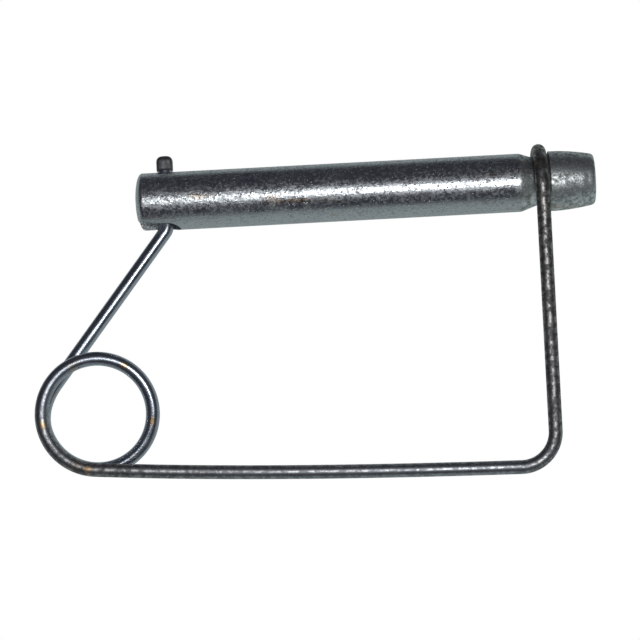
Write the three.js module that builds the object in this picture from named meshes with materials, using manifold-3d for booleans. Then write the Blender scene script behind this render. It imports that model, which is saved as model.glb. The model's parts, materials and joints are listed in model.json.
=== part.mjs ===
// Hitch pin lock: a turned steel hitch pin whose spring wire passes through a cross-hole at the head,
// winds once round as a finger coil, runs back under the pin, and hooks over a groove near the nose.
//
// Millimetres. The origin is the centre of the pin's head end face. +X runs along the pin to its nose,
// +Z is up, and the spring wire hangs below the pin with its finger coil and arm on the -Y side.

import * as THREE from "three";
import { mergeVertices } from "three/addons/utils/BufferGeometryUtils.js";
import Module from "manifold-3d";

const wasm = await Module();
wasm.setup();

// The pin: a 5/8 in shank that holds a 4 in stack between its cross-hole and its groove.
const PIN_RADIUS = 15.875 / 2;
const PIN_LENGTH = 125;
const PIN_SIDES = 72;
const PROFILE_STEPS = 5;
const HOLE_FROM_HEAD = 8.2;

// The crown of the head end: a small flat disc, then a curve that steepens out to the shank.
const HEAD_FLAT_RADIUS = 2.6;
const HEAD_CROWN_LEAD = 0.5;
const HEAD_CROWN_LENGTH = 2.2;

// The groove that the hook drops into: a cone on the head side and a steep wall on the nose side.
const RAMP_START = 104.3;
const RAMP_KNEE = 104.8;
const KNEE_DROP = 0.18;
const FLOOR_START = 109.4;
const FLOOR_END = 112.45;
const GROOVE_RIM = 112.75;
const FLOOR_RADIUS = 6.3;

// The nose: slightly fuller than the shank behind its rim, then a long curve in to a rounded end.
const NOSE_RADIUS = 8.17;
const NOSE_TIP_RADIUS = 7.05;
const NOSE_EDGE = 1.1;
const NOSE_EDGE_TAPER = 0.25;
const SHOULDER_SHARE = 0.45;

// The spring wire.
const WIRE_RADIUS = 3.76 / 2;
const WIRE_SIDES = 16;
const NODE_GAP = 0.3;

// The cross-hole leans about the pin's axis, so that the wire below it starts towards the arm.
const SHANK_LEAN = THREE.MathUtils.degToRad(12);
const HOLE_RADIUS = 2.15;
const HOLE_SIDES = 24;

// The slot milled under the head, which gives the bend of the wire room inside the pin.
const SLOT_WIDTH = 7.6;
const SLOT_FLOOR = 4.7;

// The staked end of the wire above the pin, which keeps the wire in its hole.
const NECK_LENGTH = 0.5;
const STAKE_HEIGHT = 4.25;
const STAKE_WIDTH = 4.5;
const STAKE_THICKNESS = 3.0;
const STAKE_CORNER = 1.3;
const STAKE_BEVEL = 0.4;

// The finger coil: where its axis stands, and how its wire winds round it. The wire comes in a little
// tight and eases out to the full radius.
const COIL_CENTRE_X = -12.95;
const COIL_CENTRE_Z = -56.7;
const COIL_RADIUS = 14.95;
const COIL_ENTRY_RADIUS = 13.95;
const COIL_EASE = THREE.MathUtils.degToRad(55);
const COIL_PITCH = 4.1;
const COIL_EXIT = THREE.MathUtils.degToRad(265 + 360);
const BEND_DEPTH = 7.8;
const BEND_RADIUS = 4;
const BEND_STEPS = 6;
const COIL_STEPS = 48;

// The arm: a slightly bowed run under the pin, a corner, an upright, and the hook over the groove.
const ARM_X = 110.2;
const ARM_Y = -10.3;
const RUN_END_DROP = THREE.MathUtils.degToRad(1.1);
const CORNER_RADIUS = 9.4;
const CORNER_CENTRE_Z = -67.5;
const HOOK_REST_GAP = 0.2;
const HOOK_TAIL = 3.6;
const RUN_STEPS = 12;
const CORNER_STEPS = 8;
const HOOK_STEPS = 20;

const HOOK_CENTRE_Z = FLOOR_RADIUS + HOOK_REST_GAP + WIRE_RADIUS + ARM_Y;
const HOOK_FOOT_Z = HOOK_CENTRE_Z - NODE_GAP / 2;

const plated = { roughness: 0.35, metalness: 0.9 };
const pinSteel = new THREE.MeshStandardMaterial({ color: 0xa3a8a9, ...plated });
const wireSteel = new THREE.MeshStandardMaterial({ color: 0x8d9499, ...plated });

// --- Solids -------------------------------------------------------------------------------------

function toSolid(geometry) {
  const bare = geometry.index ? geometry.toNonIndexed() : geometry.clone();
  bare.deleteAttribute("normal");
  bare.deleteAttribute("uv");
  const merged = mergeVertices(bare, 1e-4);
  return new wasm.Manifold(
    new wasm.Mesh({
      numProp: 3,
      vertProperties: new Float32Array(merged.attributes.position.array),
      triVerts: new Uint32Array(merged.index.array),
    }),
  );
}

function toGeometry(solid) {
  const { numProp, vertProperties, triVerts } = solid.getMesh();
  const positions = new Float32Array((vertProperties.length / numProp) * 3);
  for (let i = 0; i * numProp < vertProperties.length; i += 1) {
    positions.set(vertProperties.subarray(i * numProp, i * numProp + 3), i * 3);
  }
  const geometry = new THREE.BufferGeometry();
  geometry.setAttribute("position", new THREE.BufferAttribute(positions, 3));
  geometry.setIndex(new THREE.BufferAttribute(new Uint32Array(triVerts), 1));
  geometry.computeVertexNormals();
  return geometry;
}

function namedMesh(name, geometry, material) {
  const mesh = new THREE.Mesh(geometry, material);
  mesh.name = name;
  return mesh;
}

// Stands a shape whose own +Y is its long axis in the cross-hole, with +Y pointing up out of the pin.
function standInHole(geometry) {
  return geometry.rotateX(Math.PI / 2 - SHANK_LEAN).translate(HOLE_FROM_HEAD, 0, 0);
}

// --- The pin ------------------------------------------------------------------------------------

// Half of the pin's section, as radius against distance from the head end face.
function pinProfile() {
  const profile = new THREE.Path();
  profile.moveTo(0, 0);
  profile.lineTo(HEAD_FLAT_RADIUS, 0);
  profile.quadraticCurveTo(PIN_RADIUS, HEAD_CROWN_LEAD, PIN_RADIUS, HEAD_CROWN_LENGTH);
  profile.lineTo(PIN_RADIUS, RAMP_START);
  profile.quadraticCurveTo(PIN_RADIUS, RAMP_KNEE, PIN_RADIUS - KNEE_DROP, 2 * RAMP_KNEE - RAMP_START);
  profile.lineTo(FLOOR_RADIUS, FLOOR_START);
  profile.lineTo(FLOOR_RADIUS, FLOOR_END);
  profile.lineTo(NOSE_RADIUS, GROOVE_RIM);
  const shoulder = GROOVE_RIM + SHOULDER_SHARE * (PIN_LENGTH - GROOVE_RIM);
  profile.quadraticCurveTo(NOSE_RADIUS, shoulder, NOSE_TIP_RADIUS, PIN_LENGTH - NOSE_EDGE);
  const endRadius = NOSE_TIP_RADIUS - NOSE_EDGE;
  profile.quadraticCurveTo(NOSE_TIP_RADIUS - NOSE_EDGE_TAPER, PIN_LENGTH, endRadius, PIN_LENGTH);
  profile.lineTo(0, PIN_LENGTH);
  return profile.getPoints(PROFILE_STEPS);
}

function crossHole() {
  return standInHole(new THREE.CylinderGeometry(HOLE_RADIUS, HOLE_RADIUS, 4 * PIN_RADIUS, HOLE_SIDES));
}

// The slot's outline, square to the wire's shank: open past the head end, round at its other end.
function headSlot() {
  const half = SLOT_WIDTH / 2;
  const outline = new THREE.Shape();
  outline.moveTo(-2 * HOLE_FROM_HEAD, -half);
  outline.lineTo(0, -half);
  outline.absarc(0, 0, half, -Math.PI / 2, Math.PI / 2, false);
  outline.lineTo(-2 * HOLE_FROM_HEAD, half);
  const cutter = new THREE.ExtrudeGeometry(outline, {
    depth: PIN_RADIUS,
    bevelEnabled: false,
    curveSegments: 8,
  });
  return standInHole(cutter.rotateX(Math.PI / 2).translate(0, -SLOT_FLOOR, 0));
}

function pinGeometry() {
  const turned = new THREE.LatheGeometry(pinProfile(), PIN_SIDES).rotateZ(-Math.PI / 2);
  return toGeometry(toSolid(turned).subtract(toSolid(crossHole())).subtract(toSolid(headSlot())));
}

// --- The wire's centreline ----------------------------------------------------------------------

// A path given by its points, whose section planes halve the angle at each of them.
class PointPath extends THREE.Curve {
  constructor(points) {
    super();
    this.points = points;
  }

  getPointAt(u) {
    return this.points[Math.round(u * (this.points.length - 1))].clone();
  }

  getTangentAt(u) {
    const i = Math.round(u * (this.points.length - 1));
    const before = this.points[Math.max(i - 1, 0)];
    const after = this.points[Math.min(i + 1, this.points.length - 1)];
    return after.clone().sub(before).normalize();
  }

  getSpacedPoints() {
    return this.points.map((point) => point.clone());
  }
}

function wireAlong(points) {
  const section = new THREE.Shape();
  section.absarc(0, 0, WIRE_RADIUS, 0, 2 * Math.PI);
  return new THREE.ExtrudeGeometry(section, {
    steps: points.length - 1,
    curveSegments: WIRE_SIDES / 2,
    extrudePath: new PointPath(points),
  });
}

// Moves the point at one end of a stretch back by half of the gap between two nodes of the wire.
function trimmed(end, next) {
  return end.clone().add(next.clone().sub(end).setLength(NODE_GAP / 2));
}

// The bend between two straight stretches that meet at a corner.
function bendPoints(from, corner, to, radius, steps) {
  const back = from.clone().sub(corner).normalize();
  const onward = to.clone().sub(corner).normalize();
  const halfAngle = back.angleTo(onward) / 2;
  const middle = back.clone().add(onward).normalize();
  const centre = corner.clone().addScaledVector(middle, radius / Math.sin(halfAngle));
  const first = corner.clone().addScaledVector(back, radius / Math.tan(halfAngle)).sub(centre);
  const turn = Math.PI - 2 * halfAngle;
  const axis = back.clone().cross(onward).normalize().negate();
  return Array.from({ length: steps + 1 }, (_, i) =>
    first.clone().applyAxisAngle(axis, (turn * i) / steps).add(centre),
  );
}

// Up along the shank from the pin's axis, positive above the pin.
function onShank(height) {
  const lean = new THREE.Vector3(0, Math.sin(SHANK_LEAN), Math.cos(SHANK_LEAN));
  return lean.multiplyScalar(height).add(new THREE.Vector3(HOLE_FROM_HEAD, 0, 0));
}

const shankCorner = onShank(-BEND_DEPTH);

// The leg touches the coil's entry circle where a tangent from the shank's corner meets it.
const toCorner = new THREE.Vector2(shankCorner.x - COIL_CENTRE_X, shankCorner.z - COIL_CENTRE_Z);
const COIL_ENTRY = toCorner.angle() + Math.acos(COIL_ENTRY_RADIUS / toCorner.length());

function onCoil(angle) {
  const eased = THREE.MathUtils.smoothstep(angle, COIL_ENTRY, COIL_ENTRY + COIL_EASE);
  const radius = THREE.MathUtils.lerp(COIL_ENTRY_RADIUS, COIL_RADIUS, eased);
  return new THREE.Vector3(
    COIL_CENTRE_X + radius * Math.cos(angle),
    ARM_Y + (COIL_PITCH * (COIL_EXIT - angle)) / (2 * Math.PI),
    COIL_CENTRE_Z + radius * Math.sin(angle),
  );
}

// --- The wire's pieces --------------------------------------------------------------------------

function stakedEnd() {
  const half = STAKE_WIDTH / 2 - STAKE_BEVEL;
  const top = STAKE_HEIGHT - 2 * STAKE_BEVEL;
  const outline = new THREE.Shape();
  outline.moveTo(-half + STAKE_CORNER / 2, 0);
  outline.lineTo(half - STAKE_CORNER / 2, 0);
  outline.quadraticCurveTo(half, 0, half, STAKE_CORNER / 2);
  outline.lineTo(half, top - STAKE_CORNER);
  outline.quadraticCurveTo(half, top, half - STAKE_CORNER, top);
  outline.lineTo(-half + STAKE_CORNER, top);
  outline.quadraticCurveTo(-half, top, -half, top - STAKE_CORNER);
  outline.lineTo(-half, STAKE_CORNER / 2);
  outline.quadraticCurveTo(-half, 0, -half + STAKE_CORNER / 2, 0);
  const depth = STAKE_THICKNESS - 2 * STAKE_BEVEL;
  const head = new THREE.ExtrudeGeometry(outline, {
    depth,
    bevelThickness: STAKE_BEVEL,
    bevelSize: STAKE_BEVEL,
    bevelSegments: 3,
    curveSegments: 4,
  });
  const foot = PIN_RADIUS + NECK_LENGTH + STAKE_BEVEL;
  return standInHole(head.translate(0, foot, -depth / 2));
}

function anchorGeometry() {
  const coilStart = onCoil(COIL_ENTRY);
  const shankTop = onShank(PIN_RADIUS + NECK_LENGTH + STAKE_HEIGHT / 2);
  const shankAndLeg = wireAlong([
    shankTop,
    ...bendPoints(shankTop, shankCorner, coilStart, BEND_RADIUS, BEND_STEPS),
    trimmed(coilStart, shankCorner),
  ]);
  return toGeometry(toSolid(shankAndLeg).add(toSolid(stakedEnd())));
}

function coilGeometry() {
  const gapAngle = NODE_GAP / 2 / COIL_RADIUS;
  const first = COIL_ENTRY + gapAngle;
  const last = COIL_EXIT - gapAngle;
  const turn = (last - first) / COIL_STEPS;
  return wireAlong(Array.from({ length: COIL_STEPS + 1 }, (_, i) => onCoil(first + turn * i)));
}

// The run under the pin leaves the coil along its tangent and flattens out towards the corner.
function runPoints() {
  const start = onCoil(COIL_EXIT);
  const cornerCentre = new THREE.Vector3(ARM_X - CORNER_RADIUS, ARM_Y, CORNER_CENTRE_Z);
  const end = new THREE.Vector3(-Math.sin(RUN_END_DROP), 0, -Math.cos(RUN_END_DROP))
    .multiplyScalar(CORNER_RADIUS)
    .add(cornerCentre);
  const startSlope = -1 / Math.tan(COIL_EXIT);
  const endSlope = -Math.tan(RUN_END_DROP);
  const meetX = (end.z - start.z + startSlope * start.x - endSlope * end.x) / (startSlope - endSlope);
  const meet = new THREE.Vector3(meetX, ARM_Y, start.z + startSlope * (meetX - start.x));
  return new THREE.QuadraticBezierCurve3(start, meet, end).getPoints(RUN_STEPS);
}

function lowerRunGeometry() {
  const run = runPoints();
  run[0] = trimmed(run[0], run[1]);
  run[RUN_STEPS] = trimmed(run[RUN_STEPS], run[RUN_STEPS - 1]);
  return wireAlong(run);
}

// The corner that turns the run up, and the straight stretch above it.
function uprightGeometry() {
  const cornerTurn = Math.PI / 2 + RUN_END_DROP;
  const corner = Array.from({ length: CORNER_STEPS + 1 }, (_, i) => {
    const angle = (cornerTurn * i) / CORNER_STEPS - RUN_END_DROP;
    return new THREE.Vector3(
      ARM_X - CORNER_RADIUS + CORNER_RADIUS * Math.sin(angle),
      ARM_Y,
      CORNER_CENTRE_Z - CORNER_RADIUS * Math.cos(angle),
    );
  });
  corner[0] = trimmed(corner[0], corner[1]);
  const uprightTop = new THREE.Vector3(ARM_X, ARM_Y, HOOK_FOOT_Z - NODE_GAP);
  return wireAlong([...corner, uprightTop]);
}

function hookGeometry() {
  const arch = Array.from({ length: HOOK_STEPS + 1 }, (_, i) => {
    const angle = (Math.PI * i) / HOOK_STEPS;
    return new THREE.Vector3(
      ARM_X,
      ARM_Y * Math.cos(angle),
      HOOK_CENTRE_Z - ARM_Y * Math.sin(angle),
    );
  });
  const foot = new THREE.Vector3(ARM_X, ARM_Y, HOOK_FOOT_Z);
  const tailEnd = new THREE.Vector3(ARM_X, -ARM_Y, HOOK_CENTRE_Z - HOOK_TAIL);
  return wireAlong([foot, ...arch, tailEnd]);
}

// --- The assembly -------------------------------------------------------------------------------

const hitchPinLock = new THREE.Group();

hitchPinLock.add(namedMesh("hitch_pin", pinGeometry(), pinSteel));

const springWire = new THREE.Group();
springWire.add(namedMesh("anchor_leg", anchorGeometry(), wireSteel));
springWire.add(namedMesh("finger_coil", coilGeometry(), wireSteel));
springWire.add(namedMesh("lower_run", lowerRunGeometry(), wireSteel));
springWire.add(namedMesh("upright", uprightGeometry(), wireSteel));
springWire.add(namedMesh("latch_hook", hookGeometry(), wireSteel));
hitchPinLock.add(springWire);

export default hitchPinLock;
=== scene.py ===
"""Looks of the hitch pin lock: a plated steel pin and the spring wire that locks it.

Metres, in the CAD frame: the origin is the centre of the pin's head end face, +X runs to the nose,
+Z is up, and the wire's coil and arm are on the -Y side.
"""

import json
import math

import bpy
import numpy as np
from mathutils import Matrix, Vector


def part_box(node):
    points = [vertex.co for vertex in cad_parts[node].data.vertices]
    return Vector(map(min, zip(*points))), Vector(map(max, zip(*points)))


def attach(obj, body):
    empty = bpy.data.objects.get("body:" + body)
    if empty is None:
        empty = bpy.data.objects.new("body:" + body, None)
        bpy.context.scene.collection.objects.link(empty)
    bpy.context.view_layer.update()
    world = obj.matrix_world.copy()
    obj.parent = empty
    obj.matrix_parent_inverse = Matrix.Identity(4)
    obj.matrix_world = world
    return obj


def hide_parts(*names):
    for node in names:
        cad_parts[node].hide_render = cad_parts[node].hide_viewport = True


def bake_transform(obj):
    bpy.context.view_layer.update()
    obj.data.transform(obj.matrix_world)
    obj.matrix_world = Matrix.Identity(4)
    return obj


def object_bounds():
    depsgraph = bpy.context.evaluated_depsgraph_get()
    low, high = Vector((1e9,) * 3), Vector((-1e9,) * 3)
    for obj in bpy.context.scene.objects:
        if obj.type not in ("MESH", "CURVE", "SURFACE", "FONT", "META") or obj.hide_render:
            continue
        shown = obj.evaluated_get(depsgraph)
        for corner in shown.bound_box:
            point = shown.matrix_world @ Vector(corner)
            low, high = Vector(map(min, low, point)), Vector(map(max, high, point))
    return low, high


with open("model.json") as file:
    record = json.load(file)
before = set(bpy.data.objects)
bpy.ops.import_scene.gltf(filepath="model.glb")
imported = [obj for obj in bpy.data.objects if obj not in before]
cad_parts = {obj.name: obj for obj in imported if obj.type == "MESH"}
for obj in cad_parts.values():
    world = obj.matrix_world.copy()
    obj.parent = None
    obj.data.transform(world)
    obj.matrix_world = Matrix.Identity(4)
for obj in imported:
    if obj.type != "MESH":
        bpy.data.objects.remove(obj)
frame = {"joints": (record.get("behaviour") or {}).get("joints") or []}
cad_low, cad_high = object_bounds()

MM = 0.001

# The pin, from its CAD node's box and the sizes that the box can't give.
_, pin_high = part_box("hitch_pin")
PIN_LENGTH = pin_high.x
PIN_RADIUS = 15.875 / 2 * MM
HEAD_FLAT_RADIUS = 2.6 * MM
HEAD_CROWN_LEAD = 0.5 * MM
HEAD_CROWN_LENGTH = 2.2 * MM
RAMP_START = 104.3 * MM
RAMP_KNEE = 104.8 * MM
KNEE_DROP = 0.18 * MM
FLOOR_START = 109.4 * MM
FLOOR_END = 112.45 * MM
GROOVE_RIM = 112.75 * MM
FLOOR_RADIUS = 6.3 * MM
NOSE_RADIUS = 8.17 * MM
NOSE_TIP_RADIUS = 7.05 * MM
NOSE_EDGE = 1.1 * MM
NOSE_EDGE_TAPER = 0.25 * MM
SHOULDER_SHARE = 0.45

# The cross-hole, its slot, and the staked end of the wire.
HOLE_X = 8.2 * MM
HOLE_RADIUS = 2.15 * MM
SHANK_LEAN = math.radians(12)
SLOT_HALF_WIDTH = 3.8 * MM
SLOT_FLOOR = 4.7 * MM
NECK_LENGTH = 0.5 * MM
STAKE_HEIGHT = 4.25 * MM
STAKE_HALF_WIDTH = 2.25 * MM
STAKE_HALF_THICKNESS = 1.5 * MM
STAKE_CROWN = 1.6 * MM
STAKE_FOOT = 0.35 * MM
STAKE_SQUARENESS = 3.6
NECK_HALF_WIDTH = 2.05 * MM
CROWN_TURN = 1.35

# The wire, from the boxes of its CAD nodes and the joint that flexes it.
WIRE_RADIUS = 1.88 * MM
BEND_DEPTH = 7.8 * MM
BEND_RADIUS = 4 * MM
COIL_RADIUS = 14.95 * MM
COIL_ENTRY_RADIUS = 13.95 * MM
COIL_EASE = math.radians(55)
COIL_PITCH = 4.1 * MM
COIL_EXIT = math.radians(265 + 360)
RUN_END_DROP = math.radians(1.1)
CORNER_RADIUS = 9.4 * MM
CORNER_CENTRE_Z = -67.5 * MM
HOOK_REST_GAP = 0.2 * MM
HOOK_TAIL = 3.6 * MM

coil_joint = next(j for j in frame["joints"] if j["name"] == "coil_flex")
COIL_X, _, COIL_Z = coil_joint["pos_m"]
hook_low, hook_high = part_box("latch_hook")
ARM_X = (hook_low.x + hook_high.x) / 2
ARM_Y = -10.3 * MM
HOOK_CENTRE_Z = FLOOR_RADIUS + HOOK_REST_GAP + WIRE_RADIUS + ARM_Y

# The chamfer of the wire's cut end, in millimetres: how far along from the end, and how far in.
CHAMFER_STEPS = (-0.35, -0.15, 0.0)
CHAMFER_INSETS = (0.0, 0.144, 0.3)

WIRE_SIDES = 56
PIN_SIDES = 288

# Where round the coil, in degrees, the plating is rubbed, and how far a rubbed spot reaches.
RUB_ANGLES = (350, 418, 548, 618)
RUB_REACH = 1.7 * MM


# The brown streak along the pin: its middle, and one over its reach along each axis.
STREAK_CENTRE = (0.042, -0.0076, -0.0019)
STREAK_SHARPNESS = (1 / (9 * MM), 1 / (3 * MM), 1 / (0.7 * MM))


# --- Camera -------------------------------------------------------------------------------------

CAMERA_DISTANCE = 0.8
CAMERA_LENS = 165
CAMERA_ROLL = math.radians(3.02)


def make_camera():
    """A long lens square to the pin, rolled so that the pin rises a little to the right."""
    data = bpy.data.cameras.new("camera")
    data.lens = CAMERA_LENS
    camera = bpy.data.objects.new("camera", data)
    camera.location = (0.0484, -CAMERA_DISTANCE, -0.0345)
    camera.rotation_euler = (math.pi / 2, CAMERA_ROLL, 0)
    bpy.context.scene.collection.objects.link(camera)
    bpy.context.scene.camera = camera


make_camera()


# --- Mesh helpers -------------------------------------------------------------------------------


def mesh_object(name, vertices, faces):
    mesh = bpy.data.meshes.new(name)
    mesh.from_pydata([tuple(v) for v in vertices], [], faces)
    mesh.update()
    mesh.shade_smooth()
    mesh.set_sharp_from_angle(angle=math.radians(32))
    made = bpy.data.objects.new(name, mesh)
    bpy.context.scene.collection.objects.link(made)
    return made


def loft(name, rings):
    """A closed skin through rings of points, each ring with the same number of points."""
    rings = [np.asarray(ring) for ring in rings]
    sides = len(rings[0])
    vertices = np.concatenate(rings)
    faces = []
    for i in range(len(rings) - 1):
        for k in range(sides):
            a = i * sides + k
            b = i * sides + (k + 1) % sides
            faces.append((a, b, b + sides, a + sides))
    last = (len(rings) - 1) * sides
    faces.append(tuple(reversed(range(sides))))
    faces.append(tuple(range(last, last + sides)))
    return mesh_object(name, vertices, faces)


def vector_attribute(made, name, values):
    attribute = made.data.attributes.new(name, "FLOAT_VECTOR", "POINT")
    attribute.data.foreach_set("vector", np.asarray(values, np.float32).ravel())


def float_attribute(made, name, values):
    attribute = made.data.attributes.new(name, "FLOAT", "POINT")
    attribute.data.foreach_set("value", np.asarray(values, np.float32).ravel())


# --- The pin ------------------------------------------------------------------------------------


def curve_through(start, control, end, steps):
    """Points of a quadratic curve, after its first one."""
    t = np.linspace(0, 1, steps + 1)[1:, None]
    start, control, end = (np.array(p) for p in (start, control, end))
    return list((1 - t) ** 2 * start + 2 * t * (1 - t) * control + t**2 * end)


def line_to(start, end, steps):
    t = np.linspace(0, 1, steps + 1)[1:, None]
    return list((1 - t) * np.array(start) + t * np.array(end))


def pin_profile():
    """(distance from the head end face, radius) along the pin, from axis to axis."""
    r = PIN_RADIUS
    knee_end = (2 * RAMP_KNEE - RAMP_START, r - KNEE_DROP)
    edge = 0.12 * MM
    shoulder = GROOVE_RIM + SHOULDER_SHARE * (PIN_LENGTH - GROOVE_RIM)
    tip = (PIN_LENGTH - NOSE_EDGE, NOSE_TIP_RADIUS)
    profile = [np.array((0, 0.4 * MM))]
    profile += line_to(profile[-1], (0, HEAD_FLAT_RADIUS), 4)
    profile += curve_through(profile[-1], (HEAD_CROWN_LEAD, r), (HEAD_CROWN_LENGTH, r), 24)
    profile += line_to(profile[-1], (16 * MM, r), 10)
    profile += line_to(profile[-1], (RAMP_START, r), 60)
    profile += curve_through(profile[-1], (RAMP_KNEE, r), knee_end, 12)
    profile += line_to(profile[-1], (FLOOR_START - edge, FLOOR_RADIUS + edge / 2), 4)
    profile += curve_through(profile[-1], (FLOOR_START, FLOOR_RADIUS), (FLOOR_START + edge, FLOOR_RADIUS), 4)
    profile += line_to(profile[-1], (FLOOR_END - edge, FLOOR_RADIUS), 4)
    profile += curve_through(
        profile[-1], (FLOOR_END, FLOOR_RADIUS), (FLOOR_END + edge / 4, FLOOR_RADIUS + edge), 4
    )
    profile += line_to(profile[-1], (GROOVE_RIM - edge / 4, NOSE_RADIUS - edge), 4)
    profile += curve_through(profile[-1], (GROOVE_RIM, NOSE_RADIUS), (GROOVE_RIM + edge, NOSE_RADIUS), 4)
    profile += curve_through(profile[-1], (shoulder, NOSE_RADIUS), tip, 20)
    profile += curve_through(
        tip, (PIN_LENGTH, NOSE_TIP_RADIUS - NOSE_EDGE_TAPER), (PIN_LENGTH, NOSE_TIP_RADIUS - NOSE_EDGE), 10
    )
    profile += line_to(profile[-1], (PIN_LENGTH, 0.4 * MM), 8)
    return profile


def in_hole(along, across, up):
    """A point given along X from the hole, across the lean, and up the wire's shank."""
    return (
        HOLE_X + along,
        across * math.cos(SHANK_LEAN) + up * math.sin(SHANK_LEAN),
        -across * math.sin(SHANK_LEAN) + up * math.cos(SHANK_LEAN),
    )


def cutter_of(name, outline, low, high):
    """A prism along the shank's direction, on an outline of (along, across) points."""
    made = loft(name, [[in_hole(x, y, h) for x, y in outline] for h in (low, high)])
    made.hide_render = True
    return made


def hole_cutter():
    angles = np.linspace(0, 2 * math.pi, 65)[:-1]
    outline = [(HOLE_RADIUS * math.cos(a), HOLE_RADIUS * math.sin(a)) for a in angles]
    return cutter_of("hole_cutter", outline, -2 * PIN_RADIUS, 2 * PIN_RADIUS)


def slot_cutter():
    angles = np.linspace(-math.pi / 2, math.pi / 2, 33)
    outline = [(SLOT_HALF_WIDTH * math.cos(a), SLOT_HALF_WIDTH * math.sin(a)) for a in angles]
    outline += [(-2 * HOLE_X, SLOT_HALF_WIDTH), (-2 * HOLE_X, -SLOT_HALF_WIDTH)]
    return cutter_of("slot_cutter", outline, -2 * PIN_RADIUS, -SLOT_FLOOR)


def cut_away(made, cutter):
    modifier = made.modifiers.new("cut", "BOOLEAN")
    modifier.operation = "DIFFERENCE"
    modifier.solver = "EXACT"
    modifier.object = cutter
    bpy.context.view_layer.objects.active = made
    bpy.ops.object.modifier_apply(modifier=modifier.name)
    bpy.data.objects.remove(cutter)


def make_pin():
    angles = np.linspace(0, 2 * math.pi, PIN_SIDES + 1)[:-1]
    rings = [[(x, r * math.sin(a), r * math.cos(a)) for a in angles] for x, r in pin_profile()]
    pin = loft("turned_pin", rings)
    pin.data.flip_normals()
    cut_away(pin, hole_cutter())
    cut_away(pin, slot_cutter())
    pin.data.shade_smooth()
    pin.data.set_sharp_from_angle(angle=math.radians(32))
    return pin


# --- The wire's centreline ----------------------------------------------------------------------


def on_shank(height):
    return np.array(in_hole(0, 0, height))


def coil_entry():
    """The angle at which the leg's line touches the coil's entry circle."""
    corner = on_shank(-BEND_DEPTH)
    across, up = corner[0] - COIL_X, corner[2] - COIL_Z
    return math.atan2(up, across) + math.acos(COIL_ENTRY_RADIUS / math.hypot(across, up))


def on_coil(angle):
    """The wire comes in a little tight and eases out to the coil's full radius."""
    share = min(max((angle - coil_entry()) / COIL_EASE, 0), 1)
    radius = COIL_ENTRY_RADIUS + (COIL_RADIUS - COIL_ENTRY_RADIUS) * share**2 * (3 - 2 * share)
    return np.array(
        (
            COIL_X + radius * math.cos(angle),
            ARM_Y + COIL_PITCH * (COIL_EXIT - angle) / (2 * math.pi),
            COIL_Z + radius * math.sin(angle),
        )
    )


def unit(v):
    return v / np.linalg.norm(v)


def bend_points(start, corner, end, radius, steps):
    """The arc that joins two straight stretches which meet at a corner."""
    back, onward = unit(start - corner), unit(end - corner)
    half = math.acos(np.clip(back @ onward, -1, 1)) / 2
    centre = corner + unit(back + onward) * radius / math.sin(half)
    first = corner + back * radius / math.tan(half) - centre
    last = corner + onward * radius / math.tan(half) - centre
    turn = math.pi - 2 * half
    shares = np.linspace(0, 1, steps + 1)
    weights = [(math.sin((1 - t) * turn), math.sin(t * turn)) for t in shares]
    return [centre + (a * first + b * last) / math.sin(turn) for a, b in weights]


def anchor_path():
    corner = on_shank(-BEND_DEPTH)
    coil_start = on_coil(coil_entry())
    bend = bend_points(on_shank(0), corner, coil_start, BEND_RADIUS, 24)
    shank_start = on_shank(PIN_RADIUS + NECK_LENGTH)
    shank = [shank_start] + line_to(shank_start, bend[0], 30)
    return shank + bend[1:] + line_to(bend[-1], coil_start, 90)


def coil_path():
    return [on_coil(a) for a in np.linspace(coil_entry(), COIL_EXIT, 360)]


def arm_path():
    start = on_coil(COIL_EXIT)
    centre = np.array((ARM_X - CORNER_RADIUS, ARM_Y, CORNER_CENTRE_Z))
    end = centre - CORNER_RADIUS * np.array((math.sin(RUN_END_DROP), 0, math.cos(RUN_END_DROP)))
    start_slope = -1 / math.tan(COIL_EXIT)
    end_slope = -math.tan(RUN_END_DROP)
    meet_x = (end[2] - start[2] + start_slope * start[0] - end_slope * end[0]) / (start_slope - end_slope)
    meet = np.array((meet_x, ARM_Y, start[2] + start_slope * (meet_x - start[0])))
    path = [start] + curve_through(start, meet, end, 160)
    for angle in np.linspace(-RUN_END_DROP, math.pi / 2, 33)[1:]:
        path.append(centre + CORNER_RADIUS * np.array((math.sin(angle), 0, -math.cos(angle))))
    path += line_to(path[-1], (ARM_X, ARM_Y, HOOK_CENTRE_Z), 100)
    for angle in np.linspace(0, math.pi, 73)[1:]:
        path.append(np.array((ARM_X, ARM_Y * math.cos(angle), HOOK_CENTRE_Z - ARM_Y * math.sin(angle))))
    path += line_to(path[-1], (ARM_X, -ARM_Y, HOOK_CENTRE_Z - HOOK_TAIL), 6)
    return path


# --- The wire's skin ----------------------------------------------------------------------------


def frames_along(path, side):
    """A tangent and two cross directions at each point, carried along the path without twisting."""
    path = np.asarray(path)
    tangents = np.gradient(path, axis=0)
    tangents /= np.linalg.norm(tangents, axis=1)[:, None]
    frames = []
    for tangent in tangents:
        side = unit(side - (side @ tangent) * tangent)
        frames.append((tangent, side, np.cross(tangent, side)))
    return frames


def wire_rings(path, frames, radii):
    angles = np.linspace(0, 2 * math.pi, WIRE_SIDES + 1)[:-1]
    rings = []
    for point, (_, side, other), radius in zip(path, frames, radii):
        rings.append([point + radius * (math.cos(a) * side + math.sin(a) * other) for a in angles])
    return rings


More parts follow.
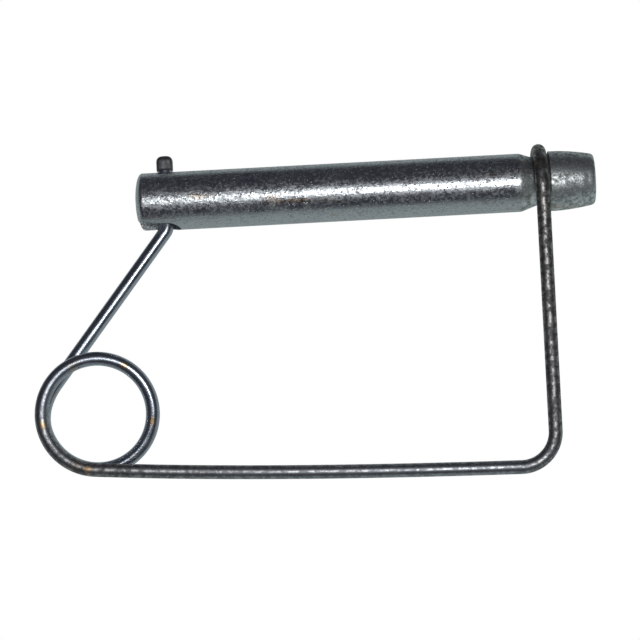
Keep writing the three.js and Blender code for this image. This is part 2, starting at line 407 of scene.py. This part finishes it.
def mark_wire(made, ring_lengths, ring_wear, rubs=()):
    """Gives each vertex its place on the straightened wire, and how worn or rubbed its plating is."""
    angles = np.linspace(0, 2 * math.pi, WIRE_SIDES + 1)[:-1]
    places = []
    for length in ring_lengths:
        places += [(length, WIRE_RADIUS * math.cos(a), WIRE_RADIUS * math.sin(a)) for a in angles]
    vector_attribute(made, "wire_place", places)
    float_attribute(made, "wear", np.repeat(ring_wear, WIRE_SIDES))
    skin = np.array([v.co for v in made.data.vertices])
    rub = np.zeros(len(skin))
    for spot in rubs:
        distance = np.linalg.norm(skin - spot, axis=1)
        rub = np.maximum(rub, np.exp(-((distance / RUB_REACH) ** 2)))
    float_attribute(made, "rub", rub)


def rubbed_spots():
    """Points on the outer side of the coil's skin, where the plating is rubbed to a copper colour."""
    outward = np.array((0, WIRE_RADIUS, 0))
    return [on_coil(math.radians(angle)) - outward for angle in RUB_ANGLES]


def lengths_along(path, start):
    steps = np.linalg.norm(np.diff(np.asarray(path), axis=0), axis=1)
    return start + np.concatenate(([0], np.cumsum(steps)))


def stake_sections():
    """(height over the neck, half width, half thickness, squareness) up the staked end."""
    sections = []
    for share in np.linspace(0, 1, 7):
        ease = math.sin(share * math.pi / 2)
        half_width = NECK_HALF_WIDTH + (STAKE_HALF_WIDTH - NECK_HALF_WIDTH) * ease
        half_thickness = WIRE_RADIUS + (STAKE_HALF_THICKNESS - WIRE_RADIUS) * ease
        squareness = 2 + (STAKE_SQUARENESS - 2) * ease
        sections.append((STAKE_FOOT * share, half_width, half_thickness, squareness))
    for share in np.linspace(0, 1, 8)[1:]:
        height = STAKE_FOOT + (STAKE_HEIGHT - STAKE_CROWN - STAKE_FOOT) * share
        sections.append((height, STAKE_HALF_WIDTH, STAKE_HALF_THICKNESS, STAKE_SQUARENESS))
    for angle in np.linspace(0, CROWN_TURN, 10)[1:]:
        inset = STAKE_CROWN * (1 - math.cos(angle))
        height = STAKE_HEIGHT - STAKE_CROWN * (1 - math.sin(angle) / math.sin(CROWN_TURN))
        half_thickness = STAKE_HALF_THICKNESS - 0.8 * inset
        sections.append((height, STAKE_HALF_WIDTH - inset, half_thickness, STAKE_SQUARENESS - inset / MM))
    return sections


def stake_rings(path, frames):
    """Rings from the top of the staked end down to the neck, in step with the wire's rings."""
    _, side, other = frames[0]
    up = unit(on_shank(1) - on_shank(0))
    angles = np.linspace(0, 2 * math.pi, WIRE_SIDES + 1)[:-1]
    across = np.array((1.0, 0.0, 0.0))
    through = np.cross(up, across)
    rings = []
    for height, half_width, half_thickness, squareness in reversed(stake_sections()[1:]):
        ring = []
        for a in angles:
            direction = math.cos(a) * side + math.sin(a) * other
            c, s = direction @ across, direction @ through
            reach = (abs(c / half_width) ** squareness + abs(s / half_thickness) ** squareness) ** (
                -1 / squareness
            )
            ring.append(path[0] + up * height + reach * direction)
        rings.append(ring)
    return rings


FIRST_SIDE = np.array((1.0, 0.0, 0.0))


def make_anchor():
    path = anchor_path()
    frames = frames_along(path, FIRST_SIDE)
    stake = stake_rings(path, frames)
    rings = stake + wire_rings(path, frames, [WIRE_RADIUS] * len(path))
    lengths = lengths_along(path, 0)
    made = loft("wire_anchor_leg", rings)
    made.data.flip_normals()
    stake_lengths = np.linspace(-STAKE_HEIGHT, 0, len(stake), endpoint=False)
    wear = np.concatenate((np.full(len(stake), 0.8), np.interp(lengths, (0, 0.02, 0.07), (0.3, 0.1, 0.0))))
    mark_wire(made, np.concatenate((stake_lengths, lengths)), wear)
    return made, frames[-1][1], lengths[-1]


def make_coil(side, start):
    path = coil_path()
    frames = frames_along(path, side)
    lengths = lengths_along(path, start)
    made = loft("wire_finger_coil", wire_rings(path, frames, [WIRE_RADIUS] * len(path)))
    made.data.flip_normals()
    shares = (lengths - start) / (lengths[-1] - start)
    wear = np.interp(shares, (0, 0.72, 0.88, 1), (0.0, 0.15, 0.75, 0.9))
    mark_wire(made, lengths, wear, rubbed_spots())
    return made, frames[-1][1], lengths[-1]


def make_arm(side, start):
    path = arm_path()
    frames = frames_along(path, side)
    lengths = lengths_along(path, start)
    radii = np.full(len(path), WIRE_RADIUS)
    ends = path[-1] + np.outer(np.array(CHAMFER_STEPS) * MM, frames[-1][0])
    path = path[:-1] + list(ends)
    frames = frames + [frames[-1]] * 2
    lengths = np.concatenate((lengths, lengths[-1:] + 0.05 * MM, lengths[-1:] + 0.1 * MM))
    radii = np.concatenate((radii[:-1], WIRE_RADIUS - np.array(CHAMFER_INSETS) * MM))
    made = loft("wire_lock_arm", wire_rings(path, frames, radii))
    made.data.flip_normals()
    wear = np.interp(lengths - start, (0, 0.03, 0.11, 0.13, 0.2), (0.9, 0.7, 0.55, 0.9, 1.0))
    mark_wire(made, lengths, wear)
    return made


# --- Materials ----------------------------------------------------------------------------------


class Nodes:
    """A short way to write the node tree of a material or of the world."""

    def __init__(self, owner):
        owner.use_nodes = True
        self.owner = owner
        self.tree = owner.node_tree
        self.shader = self.tree.nodes.get("Principled BSDF")

    def node(self, kind, **values):
        made = self.tree.nodes.new(kind)
        for key, value in values.items():
            setattr(made, key, value)
        return made

    def link(self, source, target):
        self.tree.links.new(source, target)

    def put(self, socket, value):
        if isinstance(value, bpy.types.NodeSocket):
            self.link(value, socket)
        else:
            socket.default_value = value

    def place(self):
        return self.node("ShaderNodeTexCoord").outputs["Object"]

    def attribute(self, name, output):
        return self.node("ShaderNodeAttribute", attribute_name=name).outputs[output]

    def stretched(self, vector, scale):
        mapping = self.node("ShaderNodeMapping")
        self.link(vector, mapping.inputs["Vector"])
        mapping.inputs["Scale"].default_value = scale
        return mapping.outputs["Vector"]

    def noise(self, vector, scale, detail=2.0, roughness=0.5, distortion=0.0):
        made = self.node("ShaderNodeTexNoise")
        self.link(vector, made.inputs["Vector"])
        made.inputs["Scale"].default_value = scale
        made.inputs["Detail"].default_value = detail
        made.inputs["Roughness"].default_value = roughness
        made.inputs["Distortion"].default_value = distortion
        return made.outputs["Fac"]

    def ranged(self, value, low, high, to_low=0.0, to_high=1.0):
        made = self.node("ShaderNodeMapRange", interpolation_type="SMOOTHSTEP")
        self.put(made.inputs["Value"], value)
        made.inputs["From Min"].default_value = low
        made.inputs["From Max"].default_value = high
        made.inputs["To Min"].default_value = to_low
        made.inputs["To Max"].default_value = to_high
        return made.outputs["Result"]

    def math(self, operation, a, b=0.0):
        made = self.node("ShaderNodeMath", operation=operation)
        self.put(made.inputs[0], a)
        self.put(made.inputs[1], b)
        return made.outputs["Value"]

    def mix(self, factor, a, b):
        made = self.node("ShaderNodeMix", data_type="RGBA")
        self.put(made.inputs["Factor"], factor)
        self.put(made.inputs[6], a)
        self.put(made.inputs[7], b)
        return made.outputs[2]

    def blend_values(self, factor, a, b):
        made = self.node("ShaderNodeMix", data_type="FLOAT")
        self.put(made.inputs["Factor"], factor)
        self.put(made.inputs[2], a)
        self.put(made.inputs[3], b)
        return made.outputs[0]

    def bump(self, height, distance, strength=1.0, below=None):
        made = self.node("ShaderNodeBump")
        self.link(height, made.inputs["Height"])
        made.inputs["Distance"].default_value = distance
        self.put(made.inputs["Strength"], strength)
        if below is not None:
            self.link(below, made.inputs["Normal"])
        return made.outputs["Normal"]


def pin_material():
    """Zinc plate over turned steel: a sparkling grain, brown stains and scuffs, and a dull worn nose."""
    n = Nodes(bpy.data.materials.new("pin_plate"))
    place = n.place()
    along = n.node("ShaderNodeSeparateXYZ")
    n.link(place, along.inputs[0])
    along = along.outputs["X"]
    worn = n.ranged(along, RAMP_START - 0.3 * MM, RAMP_START + 0.6 * MM)
    head_share = n.ranged(along, 0.02, 0.07, 1.0, 0.0)

    grain = n.noise(place, 1500, 3, 0.62)
    fine = n.noise(n.stretched(place, (900, 2600, 2600)), 1.0, 2, 0.6)
    cloud = n.noise(place, 170, 4, 0.6)
    rings = n.noise(n.stretched(place, (3200, 70, 70)), 1.0, 2, 0.6)
    scratches = n.noise(n.stretched(place, (90, 1500, 1500)), 1.0, 3, 0.5, 0.6)
    stain = n.ranged(n.noise(n.stretched(place, (60, 330, 330)), 1.0, 5, 0.68), 0.60, 0.72)
    from_streak = n.node("ShaderNodeVectorMath", operation="SUBTRACT")
    n.link(place, from_streak.inputs[0])
    from_streak.inputs[1].default_value = STREAK_CENTRE
    streak_reach = n.node("ShaderNodeVectorMath", operation="LENGTH")
    n.link(n.stretched(from_streak.outputs[0], STREAK_SHARPNESS), streak_reach.inputs[0])
    streak = n.math("SUBTRACT", grain, n.math("MULTIPLY", streak_reach.outputs["Value"], 0.28))
    stain = n.math("MAXIMUM", stain, n.ranged(streak, 0.22, 0.40))
    specks = n.ranged(n.noise(place, 1700, 2, 0.5), 0.60, 0.70)
    blotch = n.ranged(n.noise(place, 700, 5, 0.75), 0.40, 0.60)
    frost = n.ranged(n.noise(place, 1100, 4, 0.75), 0.46, 0.62)

    zinc = n.mix(cloud, (0.47, 0.51, 0.55, 1), (0.66, 0.69, 0.70, 1))
    zinc = n.mix(n.math("MULTIPLY", stain, 0.7), zinc, (0.36, 0.24, 0.13, 1))
    zinc = n.mix(n.math("MULTIPLY", specks, 0.55), zinc, (0.30, 0.24, 0.20, 1))
    dull = n.mix(blotch, (0.36, 0.38, 0.38, 1), (0.74, 0.79, 0.79, 1))
    dull = n.mix(n.math("MULTIPLY", stain, 0.6), dull, (0.30, 0.19, 0.11, 1))
    n.link(n.mix(worn, zinc, dull), n.shader.inputs["Base Color"])
    n.shader.inputs["Metallic"].default_value = 1.0
    smooth_roughness = n.ranged(n.math("ADD", cloud, n.math("MULTIPLY", fine, 0.5)), 0.5, 1.0, 0.20, 0.30)
    plate_roughness = n.blend_values(frost, smooth_roughness, 0.50)
    worn_roughness = n.ranged(blotch, 0.0, 1.0, 0.60, 0.40)
    n.link(n.blend_values(worn, plate_roughness, worn_roughness), n.shader.inputs["Roughness"])
    rough_grain = n.math("MAXIMUM", head_share, worn)
    normal = n.bump(grain, 0.09 * MM, n.blend_values(rough_grain, 0.5, 1.0))
    normal = n.bump(fine, 0.03 * MM, 0.6, normal)
    normal = n.bump(specks, 0.08 * MM, 0.8, normal)
    normal = n.bump(rings, 0.012 * MM, 0.4, normal)
    normal = n.bump(scratches, 0.02 * MM, 0.35, normal)
    n.link(normal, n.shader.inputs["Normal"])
    return n.owner


def wire_material():
    """Bright plate on drawn wire, with fine lines along it, duller and mottled where it is worn."""
    n = Nodes(bpy.data.materials.new("wire_plate"))
    place = n.attribute("wire_place", "Vector")
    wear = n.attribute("wear", "Fac")
    rub = n.attribute("rub", "Fac")
    lines = n.noise(n.stretched(place, (60, 2600, 2600)), 1.0, 3, 0.6)
    grain = n.noise(place, 1700, 3, 0.6)
    cloud = n.noise(place, 230, 4, 0.62)
    tint = n.ranged(n.noise(place, 120, 3, 0.55), 0.60, 0.72)
    mottle = n.ranged(n.noise(place, 620, 5, 0.7), 0.42, 0.60)
    rub_edge = n.ranged(n.math("ADD", rub, n.math("MULTIPLY", grain, 1.4)), 1.15, 1.75)

    bright = n.mix(cloud, (0.40, 0.46, 0.55, 1), (0.62, 0.67, 0.73, 1))
    bright = n.mix(n.math("MULTIPLY", tint, 0.35), bright, (0.60, 0.46, 0.30, 1))
    dull = n.mix(mottle, (0.13, 0.125, 0.12, 1), (0.44, 0.435, 0.42, 1))
    dull = n.mix(n.math("MULTIPLY", tint, 0.5), dull, (0.30, 0.22, 0.15, 1))
    plate = n.mix(wear, bright, dull)
    n.link(n.mix(rub_edge, plate, (0.74, 0.52, 0.30, 1)), n.shader.inputs["Base Color"])
    n.shader.inputs["Metallic"].default_value = 1.0
    bright_roughness = n.ranged(cloud, 0.3, 0.7, 0.20, 0.30)
    dull_roughness = n.ranged(mottle, 0.0, 1.0, 0.60, 0.44)
    n.link(n.blend_values(wear, bright_roughness, dull_roughness), n.shader.inputs["Roughness"])
    normal = n.bump(lines, 0.015 * MM, 0.4)
    normal = n.bump(grain, 0.06 * MM, n.ranged(wear, 0.0, 1.0, 0.5, 0.9), normal)
    n.link(normal, n.shader.inputs["Normal"])
    return n.owner


def floor_material():
    n = Nodes(bpy.data.materials.new("pale_floor"))
    place = n.place()
    shade = n.mix(n.noise(place, 40, 3), (0.86, 0.86, 0.855, 1), (0.90, 0.90, 0.895, 1))
    n.link(shade, n.shader.inputs["Base Color"])
    n.shader.inputs["Roughness"].default_value = 0.8
    return n.owner


# --- Stage --------------------------------------------------------------------------------------


DISC_DROP = 0.1
DISC_RADIUS = 0.34


def make_floor():
    """A pale disc well below the hanging wire."""
    height = cad_low.z - DISC_DROP
    angles = np.linspace(0, 2 * math.pi, 97)[:-1]
    centre = (cad_low + cad_high) / 2
    rim = []
    for a in angles:
        rim.append((centre.x + DISC_RADIUS * math.cos(a), centre.y + DISC_RADIUS * math.sin(a), height))
    floor = mesh_object("floor", rim, [tuple(range(len(rim)))])
    floor.data.materials.append(floor_material())
    floor.visible_glossy = False


# Where the pale part of the surroundings lies: behind the object, a little below it and to the right.
PALE_DIRECTION = (0.23, 1.0, -0.48)


def make_world():
    """White to the camera. To the metal it is pale behind and below the object, and dim in front."""
    world = bpy.data.worlds.new("studio")
    bpy.context.scene.world = world
    n = Nodes(world)
    n.tree.nodes.clear()
    direction = n.node("ShaderNodeTexCoord").outputs["Generated"]
    towards_pale = n.node("ShaderNodeVectorMath", operation="DOT_PRODUCT")
    n.link(direction, towards_pale.inputs[0])
    towards_pale.inputs[1].default_value = PALE_DIRECTION
    pale = n.ranged(towards_pale.outputs["Value"], 0.05, 0.13)
    colour = n.mix(pale, (0.040, 0.040, 0.050, 1), (0.36, 0.40, 0.40, 1))
    seen = n.node("ShaderNodeLightPath").outputs["Is Camera Ray"]
    background = n.node("ShaderNodeBackground")
    n.link(n.mix(seen, colour, (1, 1, 1, 1)), background.inputs["Color"])
    output = n.node("ShaderNodeOutputWorld")
    n.link(background.outputs["Background"], output.inputs["Surface"])


def area_light(name, location, target, size, power):
    data = bpy.data.lights.new(name, "AREA")
    data.shape = "DISK"
    data.size = size
    data.energy = power
    light = bpy.data.objects.new(name, data)
    light.location = location
    light.rotation_euler = (Vector(target) - Vector(location)).to_track_quat("-Z", "Y").to_euler()
    bpy.context.scene.collection.objects.link(light)


def make_lights():
    area_light("key", (0.14, -0.62, 0.012), (0.07, 0, 0), 0.10, 0.90)
    area_light("left_fill", (-0.10, -0.62, 0.012), (-0.013, 0, -0.057), 0.12, 0.24)


# --- The object ---------------------------------------------------------------------------------

pin_plate = pin_material()
wire_plate = wire_material()

pin = make_pin()
pin.data.materials.clear()
pin.data.materials.append(pin_plate)
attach(pin, "pin")
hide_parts("hitch_pin")

anchor, side, length = make_anchor()
coil, side, length = make_coil(side, length)
arm = make_arm(side, length)
for piece in (anchor, coil, arm):
    piece.data.materials.append(wire_plate)

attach(anchor, "wire_anchor")
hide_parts("anchor_leg")
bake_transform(coil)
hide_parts("finger_coil")
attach(arm, "spring_arm")
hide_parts("lower_run", "upright", "latch_hook")

make_world()
make_lights()
make_floor()
bpy.context.scene.view_settings.view_transform = "Standard"
